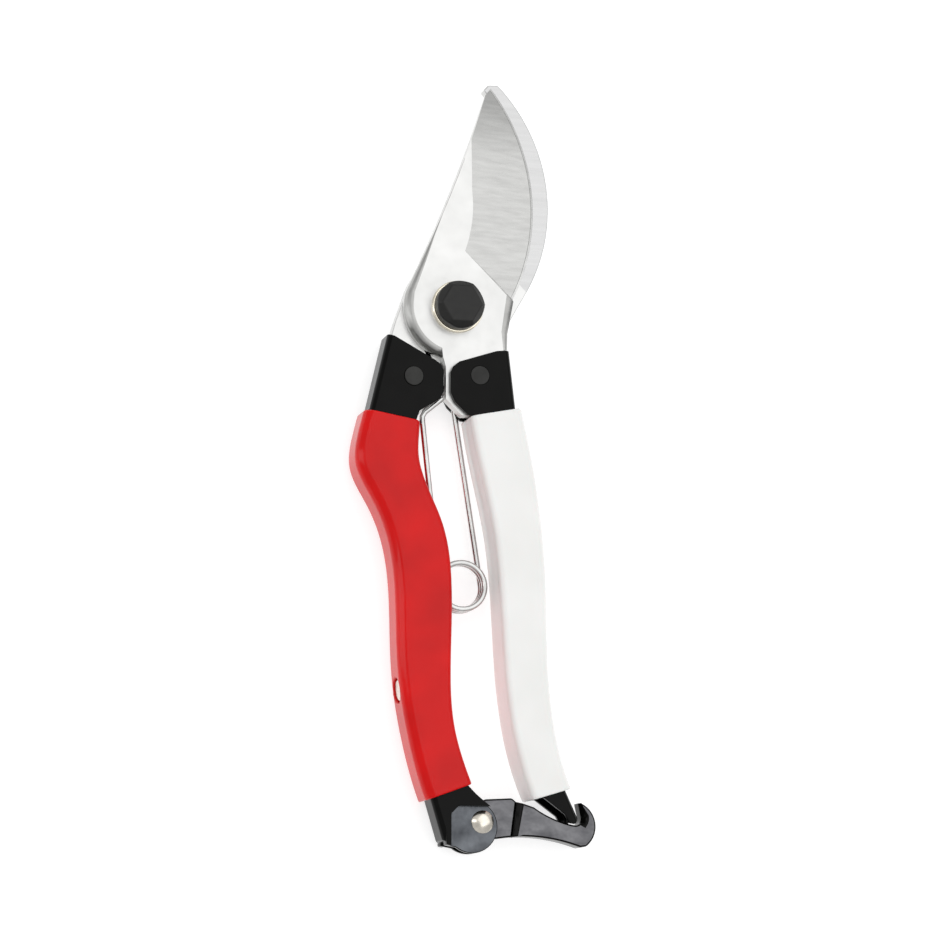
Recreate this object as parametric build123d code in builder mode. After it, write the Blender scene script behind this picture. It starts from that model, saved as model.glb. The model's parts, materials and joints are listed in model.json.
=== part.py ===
"""Bypass pruner, closed and latched, lying on its back with its tip along +Y.

Z is the pivot axis.  Z = 0 is the surface that the tool lies on, where the end of the
pivot bolt, the nut and the two grips rest.  The cutting plane, between the blade and
the hook, is MID above it.  The red handle is fixed to the hook, the white one to the blade.
"""
from build123d import *
import math
import os

os.makedirs("parts", exist_ok=True)

# ------------------------------------------------------------------ driving dimensions, mm
PLATE = 3.4            # thickness of the forged blade, and of the hook
SLIDE = 0.03           # each plate stays this far off the cutting plane
SHEET = 1.3            # pressed steel of the handle channels
BEND = 1.9             # outer radius of the bend between web and cheek
TANG_ROOM = 0.1        # room between a tang and the channel's cheeks
SLEEVE = 1.4           # wall of the dipped grips over the channel's outside
FILM = 1.0             # film of the grips over the channel's open side
INSIDE = PLATE + TANG_ROOM   # half the inside width of a channel
CHANNEL = INSIDE + SHEET     # half the outside width
MID = CHANNEL + SLEEVE

REACH = 61.7           # pivot to the tip of the hook
EDGE_LAND = 0.3        # thickness that grinding would leave at the cutting edge
HONED = 0.12           # thickness left there by honing
HONING = 25.0          # slope of the honed land, degrees
BEVEL_WIDE = 17.2      # width of the ground bevel
PLUNGE_LEAN = 25.0     # lean of the wall where grinding stops, degrees off the pivot axis
HUB = 13.8             # radius of the blade's hub
HOOK_HUB = 13.6        # radius of the hook's hub
GRIP_TOP = -31.0       # where the grips begin, along Y
GRIP_LENGTH = 95.0     # from there to their lower end
TANG_INTO = 8.0        # the tangs run this far into the grips
TANG_SHY = 0.3         # the tangs stay this far behind the ferrules' front edges
STOP_WHITE = -3.0      # X of the blade tang's inner edge, which stops the closed tool
STOP_RED = -3.3        # X of the hook tang's inner edge
STOP_FOOT = -21.0      # the two edges meet at full thickness down to this Y

BOLT = 4.0             # pivot bolt's shank radius
BOLT_FIT = 0.05        # radial running clearance of the blade on the bolt
FACE_FIT = 0.05        # clearance of the blade under the pale washer
CROWN = BOLT + 1.2     # radius of the bolt head's crown
HEAD = CROWN + 1.1     # radius of the flange under the crown
FLANGE = 2.6           # height of that flange
HEAD_RISE = 4.4        # height of the bolt head, flange included
HEAD_ROUND = 1.2       # rounding of the crown
WASHER = HEAD + 0.55   # outer radius of the pale washer under the head
WASHER_THICK = 1.0
WASHER_BORE = BOLT + 0.1
NUT_SIZE = 2 * (BOLT + 2.0)      # across the flats
LOCK_RING = NUT_SIZE / 2 + 0.6   # outer radius of the spring washer under the nut
LOCK_THICK = 0.7
SEAT_DEEP = 1.2        # counterbore behind the hook for the nut and its washer
SEAT_ROOM = 1.0        # room round the nut's corners in it

TANG_RIVET = 2.45      # radius of the rivets through the tangs
RIVET_PROUD = 0.3      # the red side's upper rivet stands this far out
GRIP_RIVET = 2.8       # head radius of the rivet behind each grip's side hole
GRIP_RIVET_HEAD = 0.9  # its thickness
GRIP_RIVET_SHANK = 1.5
GRIP_RIVET_SEAT = 0.04 # the head stays this far off the curved web
SIDE_HOLE = GRIP_RIVET + 0.4   # radius of the hole in the grip
RIVET_SHARE = 0.72     # where it is, as a share of the grip's length

WIRE = 0.75            # radius of the spring wire
COIL = 6.1             # mean radius of the coil
COIL_AT = (1.7, GRIP_TOP - 41.8)
COIL_SIDE = 0.25       # room between the coil's ends and the channel's cheeks
COIL_HALF = INSIDE - COIL_SIDE - WIRE   # half the distance between the first and last turns, along Z
COIL_GAP = 26.0        # degrees left free between the spring's two halves
LEG_RED = (-8.9, GRIP_TOP + 0.9)    # top of the leg on the red side
LEG_WHITE = (1.0, GRIP_TOP + 0.7)   # top of the leg on the white side
LEG_HALF = 1.7         # height of a leg's top off the cutting plane
KNUCKLE = 0.03         # the bend between leg and coil is this much fatter than the wire
COIL_ROOM = 0.45       # room round the coil in the red grip's film

EAR_IN = 1.5           # half the gap between the clevis ears
LATCH_HALF = 2.7       # half thickness of the latch's body
TONGUE_TOP = 1.4       # the tongue reaches this far above the cutting plane
TONGUE_LOW = 1.0       # and this far below it, over its wave washer
LATCH_RIVET = 2.5      # shank radius of the latch rivet
LATCH_HEAD = LATCH_RIVET + 0.5   # radius of its domed head
LATCH_DOME = 1.3       # height of the dome
LATCH_TAIL = 0.9       # thickness of the peened end behind
LATCH_FIT = 0.05       # radial running clearance of the latch on its rivet
EAR = 6.75             # radius of the clevis ears
STRADDLE = 0.4         # room at each side of the latch between the white channel's cheeks

WHITE_RIVETS = [(5.8, -18.0), (10.8, GRIP_TOP - 3.8)]
RED_RIVETS = [(-11.9, -19.1), (-17.6, GRIP_TOP - 3.8)]

GRIP_END = GRIP_TOP - GRIP_LENGTH
TANG_END = GRIP_TOP - TANG_INTO
EAR_OUT = EAR_IN + SHEET
EAR_AT = (4.1, GRIP_END - 8.4)
LATCH_AT = (6.9, GRIP_END - 7.2)


def level(height):
    """A sketch plane this far above the cutting plane."""
    return Plane.XY.offset(MID + height)


def along(share):
    """Y at this share of the grips' length."""
    return GRIP_TOP - share * GRIP_LENGTH


def polar(radius, degrees, centre=(0, 0)):
    """A point on a circle."""
    turn = math.radians(degrees)
    return (centre[0] + radius * math.cos(turn), centre[1] + radius * math.sin(turn))


# Handle stations: share of the grip's length, centre X, width across.
RED = [
    (-0.0137, -17.5, 14.8),
    (0.03, -18.2, 15.6),
    (0.105, -18.7, 16.6),
    (0.19, -15.6, 14.7),
    (0.295, -11.4, 14.9),
    (0.45, -9.1, 14.8),
    (0.66, -8.8, 13.8),
    (0.84, -6.9, 12.3),
    (0.96, -3.7, 12.5),
    (1.00, -2.3, 12.6),
]
WHITE = [
    (-0.036, 10.1, 14.2),
    (0.12, 13.1, 14.5),
    (0.28, 15.8, 13.5),
    (0.46, 17.3, 12.8),
    (0.68, 18.2, 12.0),
    (0.84, 20.2, 11.6),
    (1.00, 24.8, 10.9),
]


def side(stations, hand, inset):
    """Points down one side of a handle: hand is -1 for its left side and +1 for its right."""
    centres = [Vector(x, along(share)) for share, x, width in stations]
    points = []
    for i, (share, x, width) in enumerate(stations):
        before = centres[max(i - 1, 0)]
        after = centres[min(i + 1, len(centres) - 1)]
        run = (after - before).normalized()
        across = Vector(-run.Y, run.X)
        points.append(centres[i] + across * (hand * (width / 2 - inset)))
    return [(p.X, p.Y) for p in points]


def side_plane(stations, hand):
    """Plane on a web's outer face at the grip's side hole, looking outwards."""
    web_line = Spline(*side(stations, hand, SLEEVE), mode=Mode.PRIVATE)
    point = web_line @ RIVET_SHARE
    run = web_line % RIVET_SHARE
    return Plane(origin=(point.X, point.Y, MID), z_dir=(-hand * run.Y, hand * run.X, 0))


# Front edge of each ferrule, from its outer corner to where the grip begins.
WHITE_NOSE = [(13.9, -10.9), (10.3, -11.3), (0.3, -14.6), (-1.4, -16.0), (-2.1, -17.6),
              (-2.1, -22.8), (-0.9, -25.3), (2.7, GRIP_TOP + 2.3)]
RED_NOSE = [(-18.6, -8.2), (-16.9, -8.8), (-6.4, -14.4), (-4.6, -15.6), (-3.9, -17.2),
            (-3.9, -22.7), (-4.8, -24.7), (-10.3, GRIP_TOP + 2.9)]


# ------------------------------------------------------------------ blade and hook
# The cutting blade is the front plate.  Its edge is one arc from the heel to the tip,
# its hub is round, and its tang thickens to fill the white channel.
HEEL = (15.2, 2.4)
BELLY = (21.4, 0.483 * REACH)
TIP = (10.0, REACH - 1.1)
BLADE_TANG = [(6.6, TANG_END), (16.3, TANG_END), (13.9, -25.8)]

PLUNGE = (1.0, 16.2)

with BuildLine() as edge_line:
    edge_arc = ThreePointArc(HEEL, BELLY, TIP)
edge_radius = edge_arc.radius
edge_centre = edge_arc.arc_center

# What grinding and honing take off the front: all above two shallow cones about the edge's
# own centre, up to a leaning wall on the hub side.
plunge_run = (PLATE - EDGE_LAND) * math.tan(math.radians(PLUNGE_LEAN))
plunge_line = Vector(HEEL[0] - PLUNGE[0], HEEL[1] - PLUNGE[1]).normalized()
plunge_shift = Vector(-plunge_line.Y, plunge_line.X) * plunge_run
grinding = [
    (EDGE_LAND, (PLATE - EDGE_LAND) / BEVEL_WIDE),
    (HONED, math.tan(math.radians(HONING))),
]
grinds = []
for edge_height, slope in grinding:
    with BuildPart() as grind:
        with BuildSketch(level(edge_height)):
            Polygon((PLUNGE[0] + plunge_shift.X, PLUNGE[1] + plunge_shift.Y),
                    (HEEL[0] + plunge_shift.X + 0.4, HEEL[1] + plunge_shift.Y - 0.4),
                    (2 * BELLY[0], 0), (2 * BELLY[0], 1.3 * REACH), (-BELLY[0], 1.3 * REACH),
                    (-BELLY[0], 0.7 * REACH), align=None)
        extrude(amount=PLATE, taper=-PLUNGE_LEAN)
        with Locations((edge_centre.X, edge_centre.Y, MID + edge_height)):
            Cone(edge_radius, edge_radius - PLATE / slope, PLATE,
                 align=(Align.CENTER, Align.CENTER, Align.MIN), mode=Mode.SUBTRACT)
    grinds.append(grind.part)

with BuildPart() as cutting_blade:
    with BuildSketch(level(SLIDE)):
        with BuildLine():
            ThreePointArc(HEEL, BELLY, TIP)
            nose = Line(TIP, (8.3, REACH - 3.2))
            spine = ThreePointArc(nose @ 1, (-1.9, 0.486 * REACH), polar(HUB, 163))
            hub = ThreePointArc(spine @ 1, polar(HUB, 205), polar(HUB, 254))
            Polyline(hub @ 1, (STOP_WHITE, -16.0), (STOP_WHITE, -24.4), (1.3, GRIP_TOP + 2.4),
                     (4.5, GRIP_TOP + 2.4), *BLADE_TANG, (12.4, -10.8), (13.9, -10.4), (14.0, -6.0), HEEL)
        make_face()
    extrude(amount=PLATE - SLIDE)
    with BuildSketch(level(-PLATE)):
        Polygon((STOP_WHITE, -18.4), (-1.5, -16.9), (0.4, -14.6 - TANG_SHY), (10.3, -11.3 - TANG_SHY),
                (12.4, -11.3 - TANG_SHY), *reversed(BLADE_TANG), (5.6, GRIP_TOP + 2.7), (STOP_WHITE, STOP_FOOT),
                align=None)
    extrude(amount=2 * PLATE)
    add(grinds, mode=Mode.SUBTRACT)
    with Locations((0, 0, MID)):
        Hole(BOLT + BOLT_FIT)
    with Locations((*WHITE_RIVETS[0], MID), (*WHITE_RIVETS[1], MID)):
        Hole(TANG_RIVET)
cutting_blade.part.label = "cutting_blade"
export_step(cutting_blade.part, "parts/cutting_blade.step")

# The hook is the rear plate: a crescent that backs the blade, a round hub and a tang
# that thickens to fill the red channel.  The nut is let into its back.
SHEAR = (18.0, 0.535 * REACH)
HOOK_TANG = [(-12.4, GRIP_TOP - 0.4), (-13.0, TANG_END), (-23.4, TANG_END), (-21.4, -27.3)]

with BuildPart() as counter_blade:
    with BuildSketch(level(-PLATE)):
        with BuildLine():
            curl = Line((9.0, REACH - 2.8), (8.0, REACH - 1.6))
            crown = Polyline(curl @ 1, (9.3, REACH - 0.1), (12.0, REACH))
            back = ThreePointArc(crown @ 1, (25.7, 0.48 * REACH), (20.1, 6.5))
            Polyline(back @ 1, (14.6, -3.2), polar(HOOK_HUB, -19))
            foot = ThreePointArc(polar(HOOK_HUB, -19), polar(HOOK_HUB, -60), polar(HOOK_HUB, -104))
            Polyline(foot @ 1, (STOP_RED, -22.9), (-10.4, GRIP_TOP + 2.8), *HOOK_TANG, (-17.3, -9.4),
                     (-15.8, -4.0), (-14.2, 0.4), polar(HOOK_HUB, 163))
            top = ThreePointArc(polar(HOOK_HUB, 163), polar(HOOK_HUB, 110), polar(HOOK_HUB, 54))
            ThreePointArc(top @ 1, SHEAR, curl @ 0)
        make_face()
    extrude(amount=PLATE - SLIDE)
    with BuildSketch(level(-PLATE)):
        Polygon((-17.3, -9.4), (-16.7, -8.9 - TANG_SHY), (-6.5, -14.4 - TANG_SHY), (-4.8, -16.0),
                (STOP_RED, -18.0), (STOP_RED, STOP_FOOT), *HOOK_TANG, align=None)
    extrude(amount=2 * PLATE)
    with BuildSketch(level(-PLATE)):
        Circle(NUT_SIZE / math.sqrt(3) + SEAT_ROOM)
    extrude(amount=SEAT_DEEP, mode=Mode.SUBTRACT)
    with Locations((0, 0, MID)):
        Hole(BOLT)
    with Locations((*RED_RIVETS[0], MID), (*RED_RIVETS[1], MID)):
        Hole(TANG_RIVET)
counter_blade.part.label = "counter_blade"
export_step(counter_blade.part, "parts/counter_blade.step")


# ------------------------------------------------------------------ pivot
# A shouldered bolt from the front, a pale washer under its head, and behind the hook a
# spring washer and a thin nut, whose face is level with the lowest part of the grips.
washer_base = PLATE + FACE_FIT
head_base = washer_base + WASHER_THICK

with BuildPart() as pivot_washer:
    with BuildSketch(level(washer_base)):
        Circle(WASHER)
        Circle(WASHER_BORE, mode=Mode.SUBTRACT)
    extrude(amount=WASHER_THICK)
    chamfer(pivot_washer.edges().group_by(Axis.Z)[-1].sort_by(SortBy.RADIUS)[-1], 0.2)
pivot_washer.part.label = "pivot_washer"
export_step(pivot_washer.part, "parts/pivot_washer.step")

with BuildPart() as pivot_bolt:
    with BuildSketch(level(-MID)):
        Circle(BOLT)
    extrude(amount=MID + head_base)
    with BuildSketch(level(head_base)):
        Circle(HEAD)
    extrude(amount=FLANGE)
    with BuildSketch(level(head_base + FLANGE)):
        Circle(CROWN)
    extrude(amount=HEAD_RISE - FLANGE)
    fillet(pivot_bolt.edges().group_by(Axis.Z)[-1], HEAD_ROUND)
pivot_bolt.part.label = "pivot_bolt"
export_step(pivot_bolt.part, "parts/pivot_bolt.step")

lock_top = SEAT_DEEP - PLATE
with BuildPart() as lock_washer:
    with BuildSketch(level(lock_top - LOCK_THICK)):
        Circle(LOCK_RING)
        Circle(WASHER_BORE, mode=Mode.SUBTRACT)
    extrude(amount=LOCK_THICK)
lock_washer.part.label = "lock_washer"
export_step(lock_washer.part, "parts/lock_washer.step")

with BuildPart() as pivot_nut:
    with BuildSketch(level(-MID)):
        RegularPolygon(NUT_SIZE / 2, 6, major_radius=False)
        Circle(BOLT, mode=Mode.SUBTRACT)
    extrude(amount=MID + lock_top - LOCK_THICK)
pivot_nut.part.label = "pivot_nut"
export_step(pivot_nut.part, "parts/pivot_nut.step")


# ------------------------------------------------------------------ handle channels
# Each handle is a U pressed from sheet: two cheeks joined by a web down its outer side,
# open towards the other handle.
JOGGLE_X = -1.7        # the clevis ears step inwards beyond this X
JOGGLE_Y = GRIP_END - 3.3  # and below this Y
JOGGLE_CORNER = 2.0    # with this corner cut off
RED_FOOT = (-3.8, GRIP_END - 12.0)
WHITE_FOOT = (31.9, GRIP_END - 5.9)
SLOT_TOP = GRIP_END - 1.2  # the white web stops here, so that its cheeks straddle the latch


def bends(channel, web):
    """The edges where a channel's web meets its cheeks: all that touch an end of the web's line."""
    layers = channel.edges().group_by(Axis.Z)
    ends = [Vector(p.X, p.Y) for p in (web @ 0, web @ 1)]
    found = []
    for edge in layers[0] + layers[-1]:
        corners = [Vector(p.X, p.Y) for p in (edge @ 0, edge @ 1)]
        if any((corner - end).length < 0.01 for corner in corners for end in ends):
            found.append(edge)
    return found


# One ear of the clevis and its mirror image, each stepped in from its cheek to the latch.
with BuildPart() as ears:
    with BuildSketch(level(EAR_IN)):
        with BuildLine():
            brow = Polyline((JOGGLE_X - SHEET, GRIP_END - 13.2), (JOGGLE_X - SHEET, JOGGLE_Y + SHEET),
                            (6.9, JOGGLE_Y + SHEET), polar(EAR, 50, EAR_AT))
            bow = ThreePointArc(brow @ 1, polar(EAR, -40, EAR_AT), polar(EAR, -128, EAR_AT))
            Line(bow @ 1, brow @ 0)
        make_face()
    extrude(amount=CHANNEL - EAR_IN)
    with BuildSketch(level(EAR_OUT)):
        with Locations((JOGGLE_X, JOGGLE_Y)):
            Rectangle(5 * EAR, 5 * EAR, align=(Align.MIN, Align.MAX))
    extrude(amount=CHANNEL, mode=Mode.SUBTRACT)
    mirror(about=level(0))
    with Locations((*LATCH_AT, MID)):
        Hole(LATCH_RIVET)

with BuildPart() as red_handle_channel:
    with BuildSketch(level(-CHANNEL)):
        with BuildLine():
            open_side = Spline(*side(RED, 1, FILM))
            web = Spline(*side(RED, -1, SLEEVE))
            Polyline(web @ 0, *RED_NOSE, open_side @ 0)
            Polyline(open_side @ 1, (4.9, GRIP_END - 0.4), (8.4, JOGGLE_Y),
                     (JOGGLE_X + JOGGLE_CORNER, JOGGLE_Y), (JOGGLE_X, JOGGLE_Y - JOGGLE_CORNER),
                     (JOGGLE_X, GRIP_END - 13.0), RED_FOOT, web @ 1)
        make_face()
    extrude(amount=2 * CHANNEL)
    fillet(bends(red_handle_channel, web), BEND)
    with BuildSketch(level(-INSIDE)):
        with BuildLine():
            inner_web = Spline(*side(RED, -1, SLEEVE + SHEET))
            Polyline(inner_web @ 0, (RED_NOSE[0][0] + SHEET, RED_NOSE[0][1]), (RED_NOSE[0][0] + SHEET, 0),
                     (20, 0), (20, GRIP_END - 20), (RED_FOOT[0] + SHEET, GRIP_END - 20),
                     (RED_FOOT[0] + SHEET, RED_FOOT[1]), inner_web @ 1)
        make_face()
    extrude(amount=2 * INSIDE, mode=Mode.SUBTRACT)
    add(ears.part)
    with Locations((*RED_RIVETS[0], MID), (*RED_RIVETS[1], MID)):
        Hole(TANG_RIVET)
    with Locations(side_plane(RED, -1)):
        Hole(GRIP_RIVET_SHANK, depth=3 * SHEET)
red_handle_channel.part.label = "red_handle_channel"
export_step(red_handle_channel.part, "parts/red_handle_channel.step")

with BuildPart() as white_handle_channel:
    with BuildSketch(level(-CHANNEL)):
        with BuildLine():
            open_side = Spline(*side(WHITE, -1, FILM))
            web = Spline(*side(WHITE, 1, SLEEVE))
            Polyline(web @ 0, *WHITE_NOSE, open_side @ 0)
            Polyline(open_side @ 1, (22.6, GRIP_END - 0.9), (28.2, GRIP_END - 5.0), (29.4, GRIP_END - 7.2),
                     (31.0, GRIP_END - 7.4), WHITE_FOOT, web @ 1)
        make_face()
    extrude(amount=2 * CHANNEL)
    fillet(bends(white_handle_channel, web), BEND)
    with BuildSketch(level(-INSIDE)):
        with BuildLine():
            inner_web = Spline(*side(WHITE, 1, SLEEVE + SHEET))
            Polyline(inner_web @ 0, (WHITE_NOSE[0][0] - SHEET, WHITE_NOSE[0][1]),
                     (WHITE_NOSE[0][0] - SHEET, 0), (-20, 0), (-20, GRIP_END - 20),
                     (WHITE_FOOT[0] - SHEET, GRIP_END - 20), (WHITE_FOOT[0] - SHEET, WHITE_FOOT[1]),
                     inner_web @ 1)
        make_face()
    extrude(amount=2 * INSIDE, mode=Mode.SUBTRACT)
    with BuildSketch(level(-LATCH_HALF - STRADDLE)):
        with Locations((WHITE_FOOT[0], SLOT_TOP)):
            Rectangle(4 * CHANNEL, 4 * CHANNEL, align=(Align.CENTER, Align.MAX))
    extrude(amount=2 * (LATCH_HALF + STRADDLE), mode=Mode.SUBTRACT)
    with Locations((*WHITE_RIVETS[0], MID), (*WHITE_RIVETS[1], MID)):
        Hole(TANG_RIVET)
    with Locations(side_plane(WHITE, 1)):
        Hole(GRIP_RIVET_SHANK, depth=3 * SHEET)
white_handle_channel.part.label = "white_handle_channel"
export_step(white_handle_channel.part, "parts/white_handle_channel.step")


# ------------------------------------------------------------------ rivets through the tangs
tang_rivets = [
    ("blade_rivet_upper", WHITE_RIVETS[0], 0.0),
    ("blade_rivet_lower", WHITE_RIVETS[1], 0.0),
    ("hook_rivet_upper", RED_RIVETS[0], RIVET_PROUD),
    ("hook_rivet_lower", RED_RIVETS[1], 0.0),
]
for name, place, proud in tang_rivets:
    with BuildPart() as rivet:
        with BuildSketch(level(-CHANNEL)):
            with Locations(place):
                Circle(TANG_RIVET)
        extrude(amount=2 * CHANNEL + proud)
    rivet.part.label = name
    export_step(rivet.part, "parts/" + name + ".step")


# ------------------------------------------------------------------ grips
# Soft sleeves dipped over the channels: a wall over the cheeks and the web, and a film
# over the open side.  The red film is open where the spring lies in the channel.
GRIP_ROUND = 3.0       # rounding along the web side of a grip
FILM_ROUND = 1.8       # and along its film side

grips = [
    ("red_grip", RED, -1),
    ("white_grip", WHITE, 1),
]
coil_room = COIL + WIRE + COIL_ROOM
for name, stations, hand in grips:
    with BuildPart() as grip:
        with BuildSketch(level(-MID)):
            with BuildLine():
                outer = Spline(*side(stations, hand, 0))
                inner = Spline(*side(stations, -hand, 0))
                Line(outer @ 0, inner @ 0)
                Line(outer @ 1, inner @ 1)
            make_face()
        extrude(amount=2 * MID)
        long_edges = grip.edges().filter_by(GeomType.BSPLINE)
        web_side = long_edges.sort_by(lambda e: hand * e.position_at(0.5).X)[-2:]
        film_side = long_edges.sort_by(lambda e: hand * e.position_at(0.5).X)[:2]
        fillet(web_side, GRIP_ROUND)
        fillet(film_side, FILM_ROUND)
        with BuildSketch(level(-CHANNEL)):
            with BuildLine():
                outer = Spline(*side(stations, hand, SLEEVE))
                inner = Spline(*side(stations, -hand, FILM))
                Line(outer @ 0, inner @ 0)
                Line(outer @ 1, inner @ 1)
            make_face()
        extrude(amount=2 * CHANNEL, mode=Mode.SUBTRACT)
        with Locations(side_plane(stations, hand)):
            Hole(SIDE_HOLE, depth=2 * SLEEVE)
        if name == "red_grip":
            with BuildSketch(level(-COIL_HALF - WIRE - COIL_ROOM)):
                Polygon((LEG_RED[0] - WIRE - COIL_ROOM, LEG_RED[1]), (COIL_AT[0] - coil_room, COIL_AT[1]),
                        (COIL_AT[0] - 0.7 * coil_room, COIL_AT[1] - 0.75 * coil_room),
                        (COIL_AT[0], COIL_AT[1] - coil_room), (COIL_AT[0], LEG_RED[1]), align=None)
            extrude(amount=2 * (COIL_HALF + WIRE + COIL_ROOM), mode=Mode.SUBTRACT)
    grip.part.label = name
    export_step(grip.part, "parts/" + name + ".step")

# A nickelled rivet sits on each web in the grip's side hole.
for name, stations, hand in [("red_grip_rivet", RED, -1), ("white_grip_rivet", WHITE, 1)]:
    with BuildPart() as stud:
        with BuildSketch(side_plane(stations, hand).offset(GRIP_RIVET_SEAT)):
            Circle(GRIP_RIVET)
        extrude(amount=GRIP_RIVET_HEAD)
        fillet(stud.faces().sort_by(lambda f: hand * f.center().X)[-1].edges(), 0.4)
        with BuildSketch(side_plane(stations, hand).offset(GRIP_RIVET_SEAT)):
            Circle(GRIP_RIVET_SHANK)
        extrude(amount=-1.6 * SHEET)
    stud.part.label = name
    export_step(stud.part, "parts/" + name + ".step")


# ------------------------------------------------------------------ spring
# One torsion spring of round wire: two long legs and a coil between the handles.  Here it
# is two rigid halves that meet in the coil, with room between their ends to wind up.
def tangent(top, hand):
    """Angle about the coil where a straight leg from its top meets the coil, hand -1 or +1."""
    away = Vector(top[0] - COIL_AT[0], top[1] - COIL_AT[1])
    return math.degrees(math.atan2(away.Y, away.X) - hand * math.acos(COIL / away.length))


turn_start = tangent(LEG_RED, -1)
turn_end = tangent(LEG_WHITE, 1) + 1080.0
pitch = 2 * COIL_HALF * 360.0 / (turn_end - turn_start)
turn_middle = (turn_start + turn_end) / 2
halves = [
    ("spring_red_arm", LEG_RED, LEG_HALF, turn_start, turn_middle - COIL_GAP / 2),
    ("spring_white_arm", LEG_WHITE, -LEG_HALF, turn_end, turn_middle + COIL_GAP / 2),
]
for name, leg, leg_height, leg_turn, free_turn in halves:
    leg_z = COIL_HALF - pitch * (leg_turn - turn_start) / 360.0
    free_z = COIL_HALF - pitch * (free_turn - turn_start) / 360.0
    low_turn = max(leg_turn, free_turn)
    with BuildPart() as arm:
        coil_axis = Axis((*COIL_AT, 0), (0, 0, 1))
        wind = Helix(pitch, abs(leg_z - free_z), COIL, center=(*COIL_AT, MID + min(leg_z, free_z)),
                     lefthand=True, mode=Mode.PRIVATE).rotate(coil_axis, low_turn)
        with BuildSketch(Plane(origin=wind @ 0, z_dir=wind % 0)):
            Circle(WIRE)
        sweep(path=wind, is_frenet=True)
        joint = Vector(*polar(COIL, leg_turn, COIL_AT), MID + leg_z)
        eye = Vector(*leg, MID + leg_height)
        with Locations(joint):
            Sphere(WIRE + KNUCKLE)
        with BuildSketch(Plane(origin=joint, z_dir=eye - joint)):
            Circle(WIRE)
        extrude(amount=(eye - joint).length)
    arm.part.label = name
    export_step(arm.part, "parts/" + name + ".step")


# ------------------------------------------------------------------ latch
# A thumb latch on the red side: a thin tongue between the clevis ears, and a thicker body
# with a notch and barb that the end of the white channel drops into.
body_top = [(16.2, GRIP_END - 1.8), (20.6, GRIP_END - 3.2)]
body_foot = (15.0, GRIP_END - 10.8)
barb = (32.6, GRIP_END - 1.7)
toe = (34.4, GRIP_END - 13.0)

with BuildPart() as latch:
    with BuildSketch(level(-LATCH_HALF)):
        with BuildLine():
            dip = ThreePointArc(body_top[1], (26.0, GRIP_END - 6.1), (31.4, GRIP_END - 7.6))
            pocket = ThreePointArc(dip @ 1, (33.0, GRIP_END - 6.9), (33.4, GRIP_END - 5.4))
            Line(pocket @ 1, barb)
            nose = ThreePointArc(barb, (36.9, GRIP_END - 6.6), toe)
            belly = ThreePointArc((32.8, GRIP_END - 13.2), (24.0, GRIP_END - 11.1), body_foot)
            Line(toe, belly @ 0)
            Polyline(belly @ 1, *body_top)
        make_face()
    extrude(amount=2 * LATCH_HALF)
    with BuildSketch(level(-TONGUE_LOW)):
        Polygon((3.0, GRIP_END - 3.0), (8.2, GRIP_END - 1.3), (15.1, GRIP_END - 0.9), body_top[0],
                (18.0, GRIP_END - 6.0), body_foot, (11.2, GRIP_END - 11.3), (5.0, GRIP_END - 12.0),
                (2.2, GRIP_END - 9.0), align=None)
    extrude(amount=TONGUE_LOW + TONGUE_TOP)
    with Locations((*LATCH_AT, MID)):
        Hole(LATCH_RIVET + LATCH_FIT)
latch.part.label = "latch"
export_step(latch.part, "parts/latch.step")

with BuildPart() as latch_washer:
    with BuildSketch(level(-EAR_IN)):
        with Locations(LATCH_AT):
            Circle(LATCH_RIVET + 1.6)
            Circle(LATCH_RIVET + LATCH_FIT, mode=Mode.SUBTRACT)
    extrude(amount=EAR_IN - TONGUE_LOW - FACE_FIT)
latch_washer.part.label = "latch_washer"
export_step(latch_washer.part, "parts/latch_washer.step")

with BuildPart() as latch_rivet:
    with BuildSketch(level(-EAR_OUT)):
        with Locations(LATCH_AT):
            Circle(LATCH_RIVET)
    extrude(amount=2 * EAR_OUT)
    with BuildSketch(level(EAR_OUT)):
        with Locations(LATCH_AT):
            Circle(LATCH_HEAD)
    extrude(amount=LATCH_DOME)
    fillet(latch_rivet.edges().group_by(Axis.Z)[-1], 0.75 * LATCH_DOME)
    with BuildSketch(level(-EAR_OUT - LATCH_TAIL)):
        with Locations(LATCH_AT):
            Circle(LATCH_HEAD)
    extrude(amount=LATCH_TAIL)
latch_rivet.part.label = "latch_rivet"
export_step(latch_rivet.part, "parts/latch_rivet.step")
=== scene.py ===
"""Bypass pruner: its looks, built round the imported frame.

Lengths are in metres.  Z is the pivot axis, Y runs to the tip, and the tool lies on Z = 0.
"""

import json
import math

import bmesh
import bpy
from mathutils import Matrix, Vector


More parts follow.
